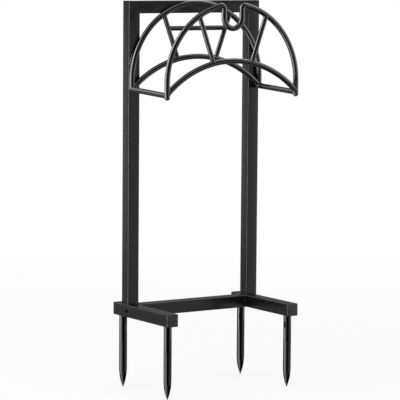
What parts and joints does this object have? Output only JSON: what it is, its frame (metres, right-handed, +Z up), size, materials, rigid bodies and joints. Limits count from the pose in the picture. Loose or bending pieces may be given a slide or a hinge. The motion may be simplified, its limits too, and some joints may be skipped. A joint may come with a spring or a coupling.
{
  "type": "hose stand",
  "caption": "Free-standing garden hose stand: square-tube frame on a base with ground spikes, and a bent-rod hanger with a notch for the nozzle.",
  "frame": {"origin": "in the plane of the four spike tips, under the middle of the stand's box", "axes": "+Z up, -Y the front, where the hanger and the base tubes reach forward, +X the stand's own left-to-right as seen from the front"},
  "size_m": [0.3137, 0.205, 0.7779],
  "materials": {
    "satin_black_coat": "satin black powder coat on square steel tube",
    "gloss_black_coat": "gloss black coat on round steel rod",
    "deep_black_enamel": "deep black enamel on the ground spikes",
    "black_plastic": "moulded black plastic, fine grain",
    "black_steel": "black oxide",
    "zinc_steel": "zinc plated"
  },
  "bodies": {
    "root": {"base_cross_tube": "satin_black_coat", "left_base_tube": "satin_black_coat", "right_base_tube": "satin_black_coat", "left_post": "satin_black_coat", "right_post": "satin_black_coat", "top_crossbar": "satin_black_coat", "left_front_spike": "deep_black_enamel", "left_rear_spike": "deep_black_enamel", "right_front_spike": "deep_black_enamel", "right_rear_spike": "deep_black_enamel", "left_front_end_cap": "black_plastic", "left_rear_end_cap": "black_plastic", "right_front_end_cap": "black_plastic", "right_rear_end_cap": "black_plastic", "left_cross_tube_screw": "black_steel", "right_cross_tube_screw": "black_steel", "left_post_screw": "black_steel", "right_post_screw": "black_steel", "left_cross_tube_washer": "zinc_steel", "right_cross_tube_washer": "zinc_steel", "left_post_washer": "zinc_steel", "right_post_washer": "zinc_steel", "left_cross_tube_plug": "satin_black_coat", "right_cross_tube_plug": "satin_black_coat", "left_post_plug": "zinc_steel", "right_post_plug": "zinc_steel", "hanger_front_loop": "gloss_black_coat", "hanger_front_saddle": "gloss_black_coat", "hanger_rear_arch": "gloss_black_coat", "hanger_rear_saddle": "gloss_black_coat", "left_front_spoke": "gloss_black_coat", "right_front_spoke": "gloss_black_coat", "left_rear_spoke": "gloss_black_coat", "right_rear_spoke": "gloss_black_coat", "hanger_back_bar": "gloss_black_coat"}
  },
  "joints": []
}
